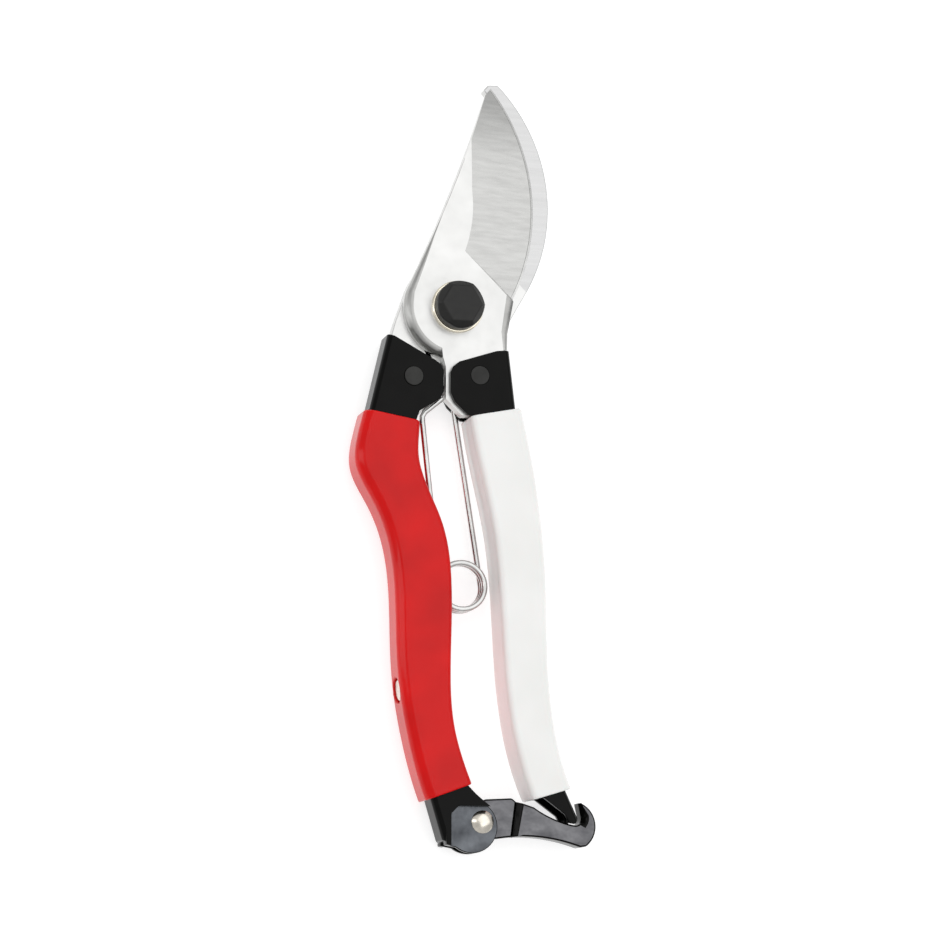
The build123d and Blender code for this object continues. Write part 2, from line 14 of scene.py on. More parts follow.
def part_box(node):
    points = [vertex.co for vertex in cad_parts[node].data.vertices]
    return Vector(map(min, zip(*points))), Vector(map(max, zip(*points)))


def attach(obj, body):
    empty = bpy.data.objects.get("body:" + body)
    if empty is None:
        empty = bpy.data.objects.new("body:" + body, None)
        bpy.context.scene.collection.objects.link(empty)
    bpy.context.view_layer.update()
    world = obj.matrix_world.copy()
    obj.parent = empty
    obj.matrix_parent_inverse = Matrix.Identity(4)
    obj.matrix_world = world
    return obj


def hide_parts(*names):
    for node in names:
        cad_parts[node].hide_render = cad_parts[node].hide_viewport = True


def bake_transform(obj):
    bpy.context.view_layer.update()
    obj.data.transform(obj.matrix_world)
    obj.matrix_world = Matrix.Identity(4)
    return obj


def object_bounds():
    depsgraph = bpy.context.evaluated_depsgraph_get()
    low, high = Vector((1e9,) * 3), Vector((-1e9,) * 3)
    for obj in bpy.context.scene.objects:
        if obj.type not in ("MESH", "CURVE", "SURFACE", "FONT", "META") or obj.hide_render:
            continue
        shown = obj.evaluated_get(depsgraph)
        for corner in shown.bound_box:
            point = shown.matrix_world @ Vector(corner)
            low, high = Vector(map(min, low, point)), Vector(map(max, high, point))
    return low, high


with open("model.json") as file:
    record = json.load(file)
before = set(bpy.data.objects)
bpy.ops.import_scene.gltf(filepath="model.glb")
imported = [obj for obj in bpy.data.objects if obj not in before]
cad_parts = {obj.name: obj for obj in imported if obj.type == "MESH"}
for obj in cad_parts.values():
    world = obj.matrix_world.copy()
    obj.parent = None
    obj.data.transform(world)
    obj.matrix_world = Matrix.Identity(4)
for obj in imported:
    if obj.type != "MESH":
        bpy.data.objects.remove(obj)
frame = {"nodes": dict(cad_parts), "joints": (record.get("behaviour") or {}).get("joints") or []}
cad_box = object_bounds()

mm = 0.001
joints = {joint["name"]: joint for joint in frame["joints"]}
pivot = Vector(joints["handle_pivot"]["pos_m"])
cut_plane = pivot.z                                # between the blade and the hook
blade_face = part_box("pivot_washer")[0].z - 0.05 * mm    # front of the blade, under the washer


# ---------------------------------------------------------------- counter blade
# The hook is the rear plate: drop-forged, plated all over, then ground flat where the blade
# slides on it.  Its rim is eased by tumbling.  It carries the tang of the red handle.
def take_up(node, name):
    """A new piece on the lines of a CAD node, with its loose triangles made whole faces."""
    bpy.ops.object.select_all(action="DESELECT")
    piece = bpy.data.objects.new(name, frame["nodes"][node].data.copy())
    bpy.context.scene.collection.objects.link(piece)
    piece.data.materials.clear()
    piece.select_set(True)
    bpy.context.view_layer.objects.active = piece
    bpy.ops.mesh.customdata_custom_splitnormals_clear()
    bpy.ops.object.mode_set(mode="EDIT")
    bpy.ops.mesh.select_all(action="SELECT")
    bpy.ops.mesh.remove_doubles(threshold=0.002 * mm)
    bpy.ops.mesh.dissolve_limited(angle_limit=math.radians(0.4))
    bpy.ops.object.mode_set(mode="OBJECT")
    return piece


def pick_edges(piece, wanted):
    """Leaves the piece in edit mode with only the edges selected that the test wants."""
    bpy.context.view_layer.objects.active = piece
    bpy.ops.object.mode_set(mode="EDIT")
    bpy.ops.mesh.select_mode(type="EDGE")
    bpy.ops.mesh.select_all(action="DESELECT")
    mesh = bmesh.from_edit_mesh(piece.data)
    for edge in mesh.edges:
        if len(edge.link_faces) == 2 and wanted(edge):
            edge.select = True
    mesh.select_flush(True)
    bmesh.update_edit_mesh(piece.data)


def give_faces(piece, finish, wanted):
    """Gives a finish to the faces that the test wants."""
    piece.data.materials.append(finish)
    index = len(piece.data.materials) - 1
    for face in piece.data.polygons:
        if wanted(face):
            face.material_index = index


def ease_edges(piece, width, steps=3, sharper_than=30, finish=-1):
    """Rounds every sharp edge, in the finish of that number, and shades the piece smooth."""
    bpy.ops.object.select_all(action="DESELECT")
    piece.select_set(True)
    bpy.context.view_layer.objects.active = piece
    bpy.ops.object.modifier_add(type="BEVEL")
    ease = piece.modifiers[-1]
    ease.width = width
    ease.segments = steps
    ease.limit_method = "ANGLE"
    ease.angle_limit = math.radians(sharper_than)
    ease.use_clamp_overlap = False
    ease.material = finish
    bpy.ops.object.modifier_apply(modifier=ease.name)
    smooth_over(piece)


def smooth_over(piece):
    """Shades a piece smooth, with its flat faces kept flat."""
    bpy.ops.object.select_all(action="DESELECT")
    piece.select_set(True)
    bpy.context.view_layer.objects.active = piece
    bpy.ops.object.shade_smooth_by_angle(angle=math.radians(42))
    bpy.ops.object.modifier_add(type="WEIGHTED_NORMAL")
    flats = piece.modifiers[-1]
    flats.keep_sharp = True
    bpy.ops.object.modifier_apply(modifier=flats.name)


def new_finish(name, colour, metallic, roughness):
    """A finish with these settings, as (material, node tree, shader)."""
    finish = bpy.data.materials.new(name)
    finish.use_nodes = True
    shader = finish.node_tree.nodes["Principled BSDF"]
    shader.inputs["Base Color"].default_value = (*colour, 1)
    shader.inputs["Metallic"].default_value = metallic
    shader.inputs["Roughness"].default_value = roughness
    return finish, finish.node_tree, shader


def grain(tree, size, stretch=(1, 1, 1), detail=3.0, tilt=0.0):
    """Noise of about this size, drawn out along an axis by a small stretch value."""
    where = tree.nodes.new("ShaderNodeTexCoord")
    place = tree.nodes.new("ShaderNodeMapping")
    place.inputs["Rotation"].default_value = (0, 0, math.radians(tilt))
    place.inputs["Scale"].default_value = stretch
    noise = tree.nodes.new("ShaderNodeTexNoise")
    noise.inputs["Scale"].default_value = 1 / size
    noise.inputs["Detail"].default_value = detail
    tree.links.new(where.outputs["Object"], place.inputs["Vector"])
    tree.links.new(place.outputs["Vector"], noise.inputs["Vector"])
    return noise.outputs["Fac"]


def shade_by(tree, factor, low, high, dark, light, socket):
    """Colours a socket from dark, where the factor is low, to light."""
    ramp = tree.nodes.new("ShaderNodeValToRGB")
    ramp.color_ramp.elements[0].position = low
    ramp.color_ramp.elements[0].color = (*dark, 1)
    ramp.color_ramp.elements[1].position = high
    ramp.color_ramp.elements[1].color = (*light, 1)
    tree.links.new(factor, ramp.inputs["Fac"])
    tree.links.new(ramp.outputs["Color"], socket)
    return ramp


def spread(tree, factor, low, high, socket):
    """Drives a number socket from low to high."""
    between = tree.nodes.new("ShaderNodeMapRange")
    between.inputs["From Min"].default_value = 0.3
    between.inputs["From Max"].default_value = 0.7
    between.inputs["To Min"].default_value = low
    between.inputs["To Max"].default_value = high
    tree.links.new(factor, between.inputs["Value"])
    tree.links.new(between.outputs["Result"], socket)


def raised(tree, shader, height, depth, strength=1.0):
    """Bumps the surface by the height, which is worth depth metres; bumps add up."""
    bump = tree.nodes.new("ShaderNodeBump")
    bump.inputs["Distance"].default_value = depth
    bump.inputs["Strength"].default_value = strength
    tree.links.new(height, bump.inputs["Height"])
    if shader.inputs["Normal"].links:
        tree.links.new(shader.inputs["Normal"].links[0].from_socket, bump.inputs["Normal"])
    tree.links.new(bump.outputs["Normal"], shader.inputs["Normal"])


def plated_finish():
    """Satin nickel-chrome plate over tumbled forging: pale, with a faint pebble and cloud."""
    finish, tree, shader = new_finish("plated_steel", (0.68, 0.68, 0.67), 1.0, 0.36)
    cloud = grain(tree, 9 * mm, detail=4)
    shade_by(tree, cloud, 0.3, 0.7, (0.64, 0.64, 0.63), (0.71, 0.71, 0.70), shader.inputs["Base Color"])
    spread(tree, grain(tree, 2.5 * mm), 0.30, 0.40, shader.inputs["Roughness"])
    raised(tree, shader, grain(tree, 0.5 * mm, detail=2), 0.004 * mm, 0.5)
    raised(tree, shader, grain(tree, 6 * mm, detail=2), 0.05 * mm, 0.4)
    return finish


def ground_finish(name, tone, tilt, contrast):
    """Steel straight off the grinding wheel: fine lines across it."""
    finish, tree, shader = new_finish(name, tone, 1.0, 0.28)
    lines = grain(tree, 1.2 * mm, (0.03, 1, 1), 6, tilt)
    fine = grain(tree, 0.3 * mm, (0.02, 1, 1), 3, tilt)
    dark = tuple((1 - contrast) * c for c in tone)
    light = tuple((1 + contrast / 2) * c for c in tone)
    shade_by(tree, lines, 0.32, 0.68, dark, light, shader.inputs["Base Color"])
    spread(tree, fine, 0.24, 0.36, shader.inputs["Roughness"])
    raised(tree, shader, fine, 0.006 * mm, 0.6)
    return finish


plated = plated_finish()
hook_ground = ground_finish("hook_ground_steel", (0.56, 0.56, 0.56), 62, 0.05)
SLIDE_END = Vector((18.2, 7.4, 0)) * mm    # grinding of the hook stops on a line through here
slide_way = Vector((0.72, 0.69, 0))        # and the ground side is this way from it

hook = take_up("counter_blade", "counter_blade_forging")
hook.data.materials.append(plated)
bpy.ops.object.mode_set(mode="EDIT")
bpy.ops.mesh.select_all(action="SELECT")
bpy.ops.mesh.bisect(plane_co=SLIDE_END, plane_no=slide_way)
bpy.ops.object.mode_set(mode="OBJECT")
give_faces(hook, hook_ground, lambda f: (abs(f.center.z - cut_plane) < 0.1 * mm and f.normal.z > 0.9
                                         and (f.center - SLIDE_END).dot(slide_way) > 0))
ease_edges(hook, 0.35 * mm)
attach(hook, "red_handle")
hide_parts("counter_blade")


# ---------------------------------------------------------------- cutting blade
# The blade is the front plate.  Its spine and hub keep the forging's rounded rim, whose darker tone is
# partly the forging's own finish and partly a painted dark reflection of the black ferrule; its face
# is plated, and grinding to the edge leaves a hollow slope, a leaning wall and a honed land.
# The ground steel is darker towards the tip.  The leaning wall carries painted shade, a line above the
# honed land carries a painted dark reflection, and the honed land is lightened as a painted highlight.
# the dark line above the honed land is a painted reflection, not a mark in the steel
PAINTED_SHADE_LINE = 0.1 * mm      # half width of the dark line above the honed land
RIM = 2.1 * mm             # rounding of the hub, which fades out up the spine
FADE_FROM = 2.0 * mm       # height up the blade where it begins to fade
FADE_TO = 22.0 * mm        # and where little of it is left
SHADE_FROM = 38 * mm       # up from here the ground face grows darker
SHADE_TO = 60 * mm         # and from here on it keeps only this share of its tone
TIP_SHARE = 0.6
GROUND_SIDE = 4.0 * mm     # left of this and above the next height the slope stays plated
GROUND_HIGH = 31.0 * mm

# How far each kind of face looks up, as the Z of its normal.
FLAT_UP = 0.995            # flat faces have more than this
HONE_UP = 0.95             # the hollow slope, from here to FLAT_UP
WALL_UP = 0.8              # the honed land, from here to HONE_UP
SIDE_UP = 0.2              # the leaning wall, from here to WALL_UP

MIX_A, MIX_B, MIX_RESULT = 6, 7, 2      # the colour sockets of a mix node, by number

# the rim's darker tone is partly the forging's own finish and partly a painted dark reflection of the
# black ferrule
spine_finish, spine_tree, spine_shader = new_finish("forged_rim_painted_reflection", (0.5, 0.5, 0.49), 1.0, 0.36)
spread(spine_tree, grain(spine_tree, 2 * mm), 0.3, 0.42, spine_shader.inputs["Roughness"])
shade_by(spine_tree, grain(spine_tree, 7 * mm), 0.3, 0.7, (0.34, 0.34, 0.33), (0.46, 0.46, 0.45),
         spine_shader.inputs["Base Color"])
raised(spine_tree, spine_shader, grain(spine_tree, 0.7 * mm), 0.006 * mm, 0.6)

blade_ground = ground_finish("blade_ground_steel", (0.50, 0.50, 0.49), 4, 0.1)
ground_tree = blade_ground.node_tree
ground_shader = ground_tree.nodes["Principled BSDF"]
where = ground_tree.nodes.new("ShaderNodeTexCoord")
up_blade = ground_tree.nodes.new("ShaderNodeSeparateXYZ")
ground_tree.links.new(where.outputs["Object"], up_blade.inputs["Vector"])
tip_share = ground_tree.nodes.new("ShaderNodeMapRange")
tip_share.interpolation_type = "SMOOTHSTEP"
tip_share.inputs["From Min"].default_value = SHADE_FROM
tip_share.inputs["From Max"].default_value = SHADE_TO
tip_share.inputs["To Min"].default_value = 1.0
tip_share.inputs["To Max"].default_value = TIP_SHARE
ground_tree.links.new(up_blade.outputs["Y"], tip_share.inputs["Value"])
darker = ground_tree.nodes.new("ShaderNodeMix")
darker.data_type = "RGBA"
darker.blend_type = "MULTIPLY"
darker.inputs["Factor"].default_value = 1.0
ground_tree.links.new(ground_shader.inputs["Base Color"].links[0].from_socket, darker.inputs[MIX_A])
ground_tree.links.new(tip_share.outputs["Result"], darker.inputs[MIX_B])
ground_tree.links.new(darker.outputs[MIX_RESULT], ground_shader.inputs["Base Color"])
# the honed land's lighter tone is a painted highlight of its bright edge
honed_and_highlit = ground_finish("honed_land_painted_highlight", (0.72, 0.72, 0.71), 50, 0.1)
# painted shade on the leaning wall and a painted dark reflection on the line above the honed land
painted_shade_steel = ground_finish("painted_shade_ground_steel", (0.3, 0.3, 0.29), 50, 0.1)

blade = take_up("cutting_blade", "cutting_blade_forging")
blade.data.materials.append(plated)
bpy.ops.object.mode_set(mode="EDIT")
bpy.ops.mesh.select_all(action="SELECT")
bpy.ops.mesh.bisect(plane_co=(GROUND_SIDE, 0, 0), plane_no=(1, 0, 0))
bpy.ops.mesh.select_all(action="SELECT")
bpy.ops.mesh.bisect(plane_co=(0, GROUND_HIGH, 0), plane_no=(0, 1, 0))
bpy.ops.object.mode_set(mode="OBJECT")
give_faces(blade, blade_ground, lambda f: (HONE_UP < f.normal.z < FLAT_UP and f.center.z > cut_plane
                                           and (f.center.x > GROUND_SIDE or f.center.y < GROUND_HIGH)))
give_faces(blade, honed_and_highlit, lambda f: WALL_UP < f.normal.z < HONE_UP and f.center.z > cut_plane)
give_faces(blade, painted_shade_steel, lambda f: SIDE_UP < f.normal.z < WALL_UP and f.center.z > cut_plane)
blade.data.materials.append(spine_finish)
PAINTED_SHADE = 3                  # places of those two in the blade's list of finishes
RIM_PAINTED_REFLECTION = 4


def under_hone(edge):
    """Where the hollow slope meets the honed land."""
    slopes = sorted(f.normal.z for f in edge.link_faces)
    return WALL_UP < slopes[0] < HONE_UP < slopes[1] < FLAT_UP and edge.verts[0].co.z > cut_plane


pick_edges(blade, under_hone)
# a thin strip where the slope meets the honed land, painted dark as a reflection
bpy.ops.mesh.bevel(offset=PAINTED_SHADE_LINE, segments=1, clamp_overlap=False, material=PAINTED_SHADE)
bpy.ops.object.mode_set(mode="OBJECT")


def on_blade_rim(edge):
    """The front rim of the spine and hub, and the hub's short right flank."""
    tops = [f for f in edge.link_faces if f.normal.z > FLAT_UP]
    walls = [f for f in edge.link_faces if abs(f.normal.z) < 0.1]
    middle = (edge.verts[0].co + edge.verts[1].co) / 2
    if len(tops) != 1 or len(walls) != 1 or abs(middle.z - blade_face) > 0.05 * mm:
        return False
    left = walls[0].normal.x < 0.3 and middle.x < 5 * mm and middle.y > -13.4 * mm
    bored = math.hypot(middle.x, middle.y) < 5 * mm
    right = middle.x > 13.0 * mm and -10.2 * mm < middle.y < 2.6 * mm
    return (left or right) and not bored


def fade(corner):
    """Share of the rim's full rounding at a corner of the outline: little is left up the spine."""
    return 0.05 + 0.95 * min(1, max(0, (FADE_TO - corner.y) / (FADE_TO - FADE_FROM)))


pick_edges(blade, on_blade_rim)
rim_corners = [v.co.copy() for v in bmesh.from_edit_mesh(blade.data).verts if v.select]
bpy.ops.mesh.bevel(offset=RIM, segments=8, profile=0.5, clamp_overlap=False, material=RIM_PAINTED_REFLECTION)
rim_mesh = bmesh.from_edit_mesh(blade.data)
rim_points = {v for face in rim_mesh.faces if face.material_index == RIM_PAINTED_REFLECTION for v in face.verts}
for point in rim_points:
    corner = min(rim_corners, key=lambda c: (c - point.co).length)
    point.co = corner + fade(corner) * (point.co - corner)
bmesh.update_edit_mesh(blade.data)
bpy.ops.mesh.select_all(action="SELECT")
bpy.ops.mesh.dissolve_degenerate(threshold=0.003 * mm)
bpy.ops.object.mode_set(mode="OBJECT")
smooth_over(blade)
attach(blade, "white_handle")
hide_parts("cutting_blade")


# ---------------------------------------------------------------- pivot
# A black bolt holds the plates together; its round head is cut to six sloping flats.
# A pale zinc washer lies under it; behind, a spring washer and a thin nut.
def metal_finish(name, colour, roughness, cloud_size, contrast=0.1):
    """A plain metal with a cloudy tone."""
    finish, tree, shader = new_finish(name, colour, 1.0, roughness)
    dark = tuple((1 - contrast) * c for c in colour)
    light = tuple(min(1, (1 + contrast / 2) * c) for c in colour)
    shade_by(tree, grain(tree, cloud_size, detail=4), 0.35, 0.65, dark, light, shader.inputs["Base Color"])
    spread(tree, grain(tree, cloud_size / 3), 0.8 * roughness, 1.2 * roughness, shader.inputs["Roughness"])
    raised(tree, shader, grain(tree, 0.25 * mm), 0.004 * mm, 0.5)
    return finish


def black_finish(name, tone, roughness, gloss, orange_peel):
    """Black oxide, paint or enamel, with a faint orange peel."""
    finish, tree, shader = new_finish(name, tone, 0.0, roughness)
    shader.inputs["Specular IOR Level"].default_value = gloss
    light = tuple(1.6 * c for c in tone)
    shade_by(tree, grain(tree, 5 * mm, detail=4), 0.35, 0.7, tone, light, shader.inputs["Base Color"])
    spread(tree, grain(tree, 1.5 * mm), 0.85 * roughness, 1.2 * roughness, shader.inputs["Roughness"])
    raised(tree, shader, grain(tree, 2.2 * mm, detail=1), orange_peel, 0.6)
    return finish


black_steel = black_finish("black_steel", (0.006, 0.006, 0.0055), 0.38, 0.35, 0.01 * mm)
head_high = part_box("pivot_bolt")[1]
HEAD_RADIUS = head_high.x
SHANK_RADIUS = 4.0 * mm
FLAT_REACH = 4.6 * mm      # from the axis to where a flat meets the top
FLAT_SLOPE = math.radians(46)              # tilt of a flat from level
head_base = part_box("pivot_washer")[1].z

bpy.ops.object.select_all(action="DESELECT")
bpy.ops.mesh.primitive_cylinder_add(vertices=72, radius=SHANK_RADIUS, depth=head_base,
                                    location=(0, 0, head_base / 2))
bolt = bpy.context.object
bolt.name = "pivot_bolt_forging"
bpy.ops.object.transform_apply(location=True)


def pick_top(piece):
    """Leaves the piece in edit mode with only its highest face selected."""
    bpy.context.view_layer.objects.active = piece
    bpy.ops.object.mode_set(mode="EDIT")
    bpy.ops.mesh.select_mode(type="FACE")
    bpy.ops.mesh.select_all(action="DESELECT")
    mesh = bmesh.from_edit_mesh(piece.data)
    mesh.faces.ensure_lookup_table()
    top = max(mesh.faces, key=lambda f: (round(f.calc_center_median().z, 6), f.calc_area()))
    top.select = True
    bmesh.update_edit_mesh(piece.data)


def lift(height, grow=1.0, centre=(0, 0, 0)):
    """Extrudes the selected face upwards and then scales it."""
    bpy.ops.mesh.extrude_region_move(TRANSFORM_OT_translate={"value": (0, 0, height)})
    bpy.ops.transform.resize(value=(grow, grow, 1), center_override=centre)


pick_top(bolt)
lift(0, HEAD_RADIUS / SHANK_RADIUS)
lift(head_high.z - head_base)
for flat in range(6):
    turn = math.radians(30 + 60 * flat)
    flat_top = (FLAT_REACH * math.cos(turn), FLAT_REACH * math.sin(turn), head_high.z)
    flat_way = (math.sin(FLAT_SLOPE) * math.cos(turn), math.sin(FLAT_SLOPE) * math.sin(turn),
                math.cos(FLAT_SLOPE))
    bpy.ops.mesh.select_all(action="SELECT")
    bpy.ops.mesh.bisect(plane_co=flat_top, plane_no=flat_way, clear_outer=True, use_fill=True)
bpy.ops.object.mode_set(mode="OBJECT")
ease_edges(bolt, 0.35 * mm, 4)
bolt.data.materials.append(black_steel)
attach(bolt, "red_handle")
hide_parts("pivot_bolt")

zinc = metal_finish("yellow_zinc", (0.90, 0.84, 0.70), 0.2, 3 * mm, 0.12)
washer = take_up("pivot_washer", "pivot_washer_turning")
washer.data.materials.append(zinc)
ease_edges(washer, 0.22 * mm)
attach(washer, "red_handle")
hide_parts("pivot_washer")

spring_steel = metal_finish("spring_steel", (0.55, 0.55, 0.54), 0.3, 2 * mm)
nut = take_up("pivot_nut", "pivot_nut_forging")
nut.data.materials.append(black_steel)
ease_edges(nut, 0.3 * mm)
lock_ring = take_up("lock_washer", "lock_washer_ring")
lock_ring.data.materials.append(spring_steel)
ease_edges(lock_ring, 0.12 * mm)
for piece, node, slot in [(nut, "pivot_nut", "black_steel"), (lock_ring, "lock_washer", "spring_steel")]:
    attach(piece, "red_handle")
    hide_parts(node)


# ---------------------------------------------------------------- handle channels
# Each handle is a U pressed from sheet and dipped in black enamel, which runs thick and glossy
# over the bends.  The clevis ears at the red one's foot are rubbed grey by the latch.
enamel = black_finish("black_enamel", (0.002, 0.002, 0.0018), 0.16, 0.1, 0.04 * mm)
rubbed, rubbed_tree, rubbed_shader = new_finish("rubbed_black", (0.16, 0.17, 0.19), 0.9, 0.34)
rubbed_cloud = grain(rubbed_tree, 5 * mm)
shade_by(rubbed_tree, rubbed_cloud, 0.3, 0.7, (0.06, 0.064, 0.072), (0.15, 0.16, 0.175),
         rubbed_shader.inputs["Base Color"])
spread(rubbed_tree, grain(rubbed_tree, 1.2 * mm), 0.26, 0.45, rubbed_shader.inputs["Roughness"])
raised(rubbed_tree, rubbed_shader, grain(rubbed_tree, 0.8 * mm), 0.012 * mm, 0.6)

ear_face = cut_plane + 2.8 * mm            # front of the clevis ears
for node, body in [("red_handle_channel", "red_handle"), ("white_handle_channel", "white_handle")]:
    channel = take_up(node, node.replace("_channel", "_pressing"))
    channel.data.materials.append(enamel)
    if body == "red_handle":
        give_faces(channel, rubbed, lambda f: f.normal.z > 0.99 and abs(f.center.z - ear_face) < 0.1 * mm)
    ease_edges(channel, 0.22 * mm, finish=0)
    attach(channel, body)
    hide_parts(node)


# ---------------------------------------------------------------- rivets through the tangs
# Steel rivets clench each tang in its channel.  They went through the enamel bath with it;
# the heads stay duller than the sheet.
rivet_black = black_finish("rivet_black", (0.018, 0.018, 0.017), 0.45, 0.25, 0.01 * mm)
tang_rivets = [
    ("blade_rivet_upper", "white_handle", "black_enamel"),
    ("blade_rivet_lower", "white_handle", "bare_steel"),
    ("hook_rivet_upper", "red_handle", "black_enamel"),
    ("hook_rivet_lower", "red_handle", "bare_steel"),
]
for node, body, slot in tang_rivets:
    rivet = take_up(node, node + "_pin")
    rivet.data.materials.append(rivet_black)
    ease_edges(rivet, 0.12 * mm, 2)
    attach(rivet, body)
    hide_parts(node)


# ---------------------------------------------------------------- grips
# Each handle is dipped in soft vinyl, which draws tight over the sheet, pulls round at its
# lips and stays glossy.
def vinyl_finish(name, dark, light):
    """Glossy dipped vinyl: faintly uneven, with a soft depth under the gloss."""
    finish, tree, shader = new_finish(name, light, 0.0, 0.14)
    shader.inputs["Specular IOR Level"].default_value = 0.25
    shade_by(tree, grain(tree, 14 * mm, detail=2), 0.3, 0.7, dark, light, shader.inputs["Base Color"])
    spread(tree, grain(tree, 5 * mm), 0.11, 0.18, shader.inputs["Roughness"])
    shader.inputs["Subsurface Weight"].default_value = 0.05
    shader.inputs["Subsurface Radius"].default_value = (1.0, 0.35, 0.3)
    shader.inputs["Subsurface Scale"].default_value = 1.0 * mm
    raised(tree, shader, grain(tree, 12 * mm, (1, 0.5, 1), 1), 0.08 * mm, 0.3)
    raised(tree, shader, grain(tree, 2.5 * mm, detail=0), 0.004 * mm, 0.3)
    return finish


grips = [
    ("red_grip", "red_handle", "red_vinyl", (0.56, 0.0005, 0.0005), (0.70, 0.001, 0.001)),
    ("white_grip", "white_handle", "white_vinyl", (0.86, 0.86, 0.84), (0.90, 0.90, 0.885)),
]
for node, body, slot, dark, light in grips:
    sleeve = take_up(node, node + "_sleeve")
    sleeve.data.materials.append(vinyl_finish(slot, dark, light))
    ease_edges(sleeve, 0.45 * mm, 4, 50)
    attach(sleeve, body)
    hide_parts(node)


# ---------------------------------------------------------------- rivets in the grips
# A nickelled rivet shows in a round hole in the outer side of each grip.
nickel = metal_finish("nickel", (0.82, 0.77, 0.68), 0.22, 2.5 * mm, 0.18)
for node, body in [("red_grip_rivet", "red_handle"), ("white_grip_rivet", "white_handle")]:
    stud = take_up(node, node + "_head")
    stud.data.materials.append(nickel)
    ease_edges(stud, 0.1 * mm, 2)
    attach(stud, body)
    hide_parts(node)


# ---------------------------------------------------------------- spring
# One length of bright drawn wire: a leg up each handle, and two and a half turns between
# them.  The hitch is its bent end in the red ferrule.
WIRE = 0.75 * mm           # radius
coil_centre = Vector(joints["spring_coil"]["pos_m"])
red_eye = Vector(joints["spring_red_eye"]["pos_m"])
coil_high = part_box("spring_red_arm")[1]
COIL_RADIUS = coil_high.x - coil_centre.x - WIRE
coil_half = (coil_high.z - cut_plane) - WIRE
LEG_HALF = 1.7 * mm        # each leg runs this far from the cutting plane
WHITE_LEG = 1.0 * mm       # X of the white leg's top
LEG_TUCK = 4.0 * mm        # length of that leg's end behind the blade
red_top = Vector((red_eye.x, red_eye.y, cut_plane + LEG_HALF))
white_top = Vector((WHITE_LEG, red_eye.y - 0.2 * mm, cut_plane - LEG_HALF))


def meeting_angle(top, hand):
    """Angle about the coil where a straight leg from its top runs into the coil."""
    away = top.xy - coil_centre.xy
    return math.atan2(away.y, away.x) - hand * math.acos(COIL_RADIUS / away.length)


first_turn = meeting_angle(red_top, -1)
last_turn = meeting_angle(white_top, 1) + 6 * math.pi
coil_points = []
COIL_STEPS = 130
for step in range(COIL_STEPS + 1):
    share = step / COIL_STEPS
    angle = first_turn + share * (last_turn - first_turn)
    coil_points.append(Vector((coil_centre.x + COIL_RADIUS * math.cos(angle),
                               coil_centre.y + COIL_RADIUS * math.sin(angle),
                               cut_plane + coil_half * (1 - 2 * share))))
LEG_STEPS = 24
wire_points = [red_top.lerp(coil_points[0], step / LEG_STEPS) for step in range(LEG_STEPS)]
wire_points += coil_points
white_end = white_top + LEG_TUCK * (white_top - coil_points[-1]).normalized()
wire_points += [coil_points[-1].lerp(white_end, step / LEG_STEPS) for step in range(1, LEG_STEPS + 1)]


def wire_along(name, points):
    """Round wire along these points, as a mesh with closed ends."""
    line = bpy.data.curves.new(name + "_line", "CURVE")
    line.dimensions = "3D"
    line.bevel_depth = WIRE
    line.bevel_resolution = 5
    line.use_fill_caps = True
    track = line.splines.new("POLY")
    track.points.add(len(points) - 1)
    for point, place in zip(track.points, points):
        point.co = (*place, 1)
    wire = bpy.data.objects.new(name, line)
    bpy.context.scene.collection.objects.link(wire)
    bpy.ops.object.select_all(action="DESELECT")
    wire.select_set(True)
    bpy.context.view_layer.objects.active = wire
    bpy.ops.object.convert(target="MESH")
    wire = bpy.context.object
    bpy.ops.object.shade_smooth_by_angle(angle=math.radians(50))
    return wire


wire_finish = metal_finish("spring_wire", (0.62, 0.62, 0.61), 0.2, 4 * mm, 0.12)
spring = wire_along("torsion_spring", wire_points)
spring.data.materials.append(wire_finish)
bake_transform(spring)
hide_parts("spring_red_arm", "spring_white_arm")

HITCH_BENDS = [(0, 0), (0, 1.0), (0.6, 2.1), (5.2, 6.0)]    # X and Y from the red leg's top, mm
hitch_points = [red_top + Vector((x, y, 0)) * mm for x, y in HITCH_BENDS]
hitch = wire_along("spring_hitch", hitch_points)
hitch.data.materials.append(wire_finish)
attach(hitch, "red_handle")


# ---------------------------------------------------------------- latch
# The latch is a forging blackened all over; its flat faces are rubbed grey and its edges stay
# black.  A thin tongue turns between the clevis ears on a domed rivet.
latch_face, latch_tree, latch_shader = new_finish("latch_rubbed", (0.2, 0.2, 0.21), 0.85, 0.4)
latch_cloud = grain(latch_tree, 4 * mm, (0.6, 1, 1), 6, -15)
shade_by(latch_tree, latch_cloud, 0.35, 0.65, (0.10, 0.10, 0.108), (0.20, 0.20, 0.21),
         latch_shader.inputs["Base Color"])
spread(latch_tree, grain(latch_tree, 0.9 * mm), 0.32, 0.5, latch_shader.inputs["Roughness"])
raised(latch_tree, latch_shader, grain(latch_tree, 0.5 * mm), 0.01 * mm, 0.6)

latch = take_up("latch", "latch_forging")
latch.data.materials.append(enamel)
give_faces(latch, latch_face, lambda f: abs(f.normal.z) > 0.99)
latch_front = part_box("latch")[1].z
STEP_SLOPE = 1.3 * mm      # the body slopes down to the tongue over this length


def on_step(edge):
    """Where the front of the body ends above the tongue."""
    tops = [f for f in edge.link_faces if f.normal.z > 0.99]
    walls = [f for f in edge.link_faces if abs(f.normal.z) < 0.1 and f.normal.x < -0.7]
    return len(tops) == 1 and len(walls) == 1 and abs(edge.verts[0].co.z - latch_front) < 0.05 * mm


pick_edges(latch, on_step)
bpy.ops.mesh.bevel(offset=STEP_SLOPE, segments=1, clamp_overlap=False, material=0)
bpy.ops.object.mode_set(mode="OBJECT")
ease_edges(latch, 0.45 * mm, 4, finish=0)
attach(latch, "latch")
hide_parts("latch")

wave = take_up("latch_washer", "latch_washer_ring")
wave.data.materials.append(spring_steel)
ease_edges(wave, 0.05 * mm, 2)
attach(wave, "red_handle")
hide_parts("latch_washer")

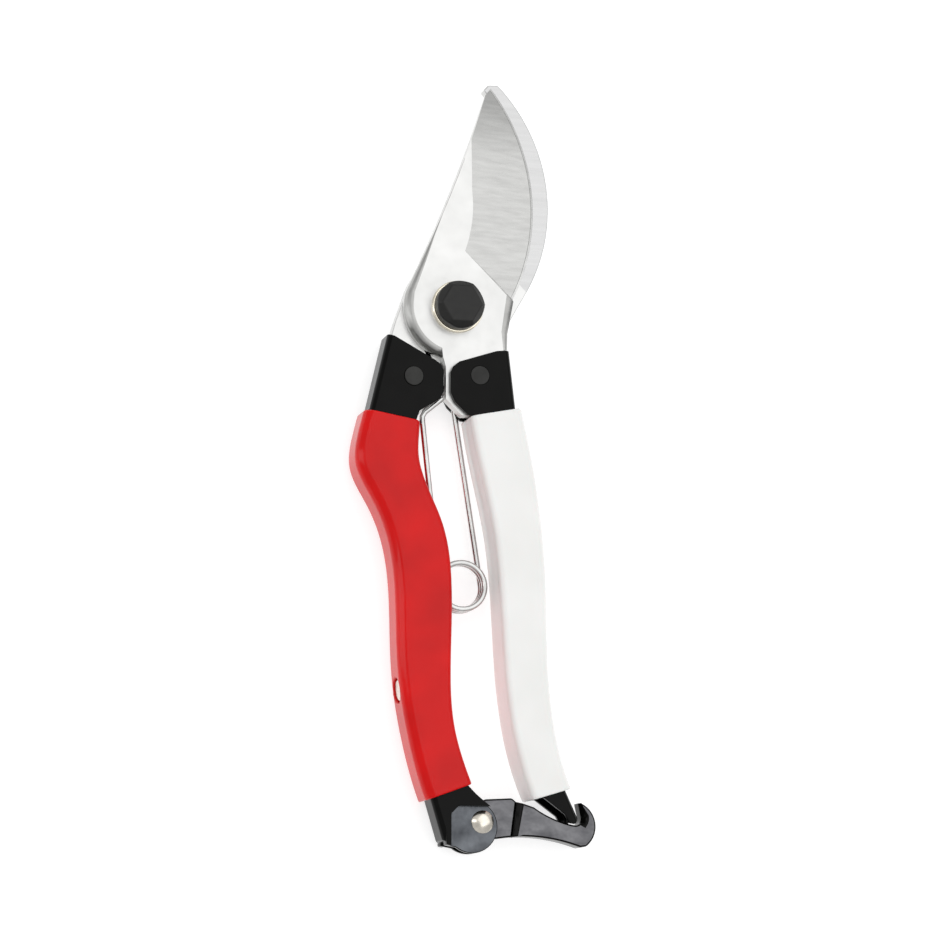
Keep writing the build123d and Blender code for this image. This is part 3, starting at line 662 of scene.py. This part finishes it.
rivet_low, rivet_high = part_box("latch_rivet")
rivet_centre = (rivet_low + rivet_high) / 2
RIVET_HEAD = (rivet_high.x - rivet_low.x) / 2
RIVET_SHANK = RIVET_HEAD - 0.5 * mm
TAIL_THICK = 0.9 * mm      # the clenched head behind
dome_height = rivet_high.z - ear_face
ball = (RIVET_HEAD ** 2 + dome_height ** 2) / (2 * dome_height)
bpy.ops.object.select_all(action="DESELECT")
bpy.ops.mesh.primitive_uv_sphere_add(segments=64, ring_count=64, radius=ball,
                                     location=(rivet_centre.x, rivet_centre.y, rivet_high.z - ball))
dome = bpy.context.object
dome.name = "latch_rivet_dome"
bpy.ops.object.transform_apply(location=True)
bpy.ops.object.mode_set(mode="EDIT")
bpy.ops.mesh.select_all(action="SELECT")
bpy.ops.mesh.bisect(plane_co=(0, 0, ear_face), plane_no=(0, 0, 1), clear_inner=True, use_fill=True)
rivet_axis = (rivet_centre.x, rivet_centre.y, ear_face)
lift(0, RIVET_SHANK / RIVET_HEAD, rivet_axis)
tail_top = rivet_low.z + TAIL_THICK
lift(tail_top - ear_face, 1.0, rivet_axis)
lift(0, RIVET_HEAD / RIVET_SHANK, rivet_axis)
lift(rivet_low.z - tail_top, 0.94, rivet_axis)
bpy.ops.mesh.select_all(action="SELECT")
bpy.ops.mesh.normals_make_consistent(inside=False)
bpy.ops.object.mode_set(mode="OBJECT")
smooth_over(dome)
dome.data.materials.append(nickel)
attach(dome, "red_handle")
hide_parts("latch_rivet")


# ---------------------------------------------------------------- table, lights and camera
# A plain pale table top, a wide soft light overhead and a camera on a long lens.
bpy.ops.object.select_all(action="DESELECT")
bpy.ops.mesh.primitive_plane_add(size=6, location=(0, 0, -0.02 * mm))
table = bpy.context.object
table.name = "table_top"
table_finish, table_tree, table_shader = new_finish("table_paint", (0.5, 0.5, 0.5), 0.0, 0.7)
table_shader.inputs["Emission Color"].default_value = (1, 1, 1, 1)
table_shader.inputs["Emission Strength"].default_value = 0.7
table.data.materials.append(table_finish)


def soft_light(name, place, aim, width, height, power):
    """A rectangular soft light at a place, turned to face its aim."""
    lamp = bpy.data.lights.new(name, "AREA")
    lamp.shape = "RECTANGLE"
    lamp.size = width
    lamp.size_y = height
    lamp.energy = power
    light = bpy.data.objects.new(name, lamp)
    bpy.context.scene.collection.objects.link(light)
    light.location = place
    light.rotation_mode = "QUATERNION"
    light.rotation_quaternion = (Vector(aim) - Vector(place)).to_track_quat("-Z", "Y")


middle = (cad_box[0] + cad_box[1]) / 2
soft_light("overhead", (0.30, 0.15, 0.95), middle, 1.6, 1.6, 6.5)
soft_light("left_bank", (-0.9, 0.05, 0.42), middle, 0.3, 1.1, 1.5)

world = bpy.data.worlds.new("studio")
world.use_nodes = True
world.node_tree.nodes["Background"].inputs["Color"].default_value = (1, 1, 1, 1)
world.node_tree.nodes["Background"].inputs["Strength"].default_value = 0.6
bpy.context.scene.world = world
bpy.context.scene.view_settings.view_transform = "Standard"

LEAN = math.radians(15)         # the camera stands this far to the left
DROP = math.radians(10)         # and this far below the tip
DISTANCE = 0.85
LENS = 124.6
aim = Vector((5.4 * mm, -43.2 * mm, cut_plane))
towards = Vector((-math.sin(LEAN) * math.cos(DROP), -math.sin(DROP), math.cos(LEAN) * math.cos(DROP)))
up = (Vector((0, 1, 0)) - towards.y * towards).normalized()
right = up.cross(towards)
lens = bpy.data.cameras.new("camera")
lens.lens = LENS
lens.sensor_width = 36
camera = bpy.data.objects.new("camera", lens)
bpy.context.scene.collection.objects.link(camera)
camera.matrix_world = Matrix((
    (right.x, up.x, towards.x, aim.x + DISTANCE * towards.x),
    (right.y, up.y, towards.y, aim.y + DISTANCE * towards.y),
    (right.z, up.z, towards.z, aim.z + DISTANCE * towards.z),
    (0, 0, 0, 1)))
bpy.context.scene.camera = camera
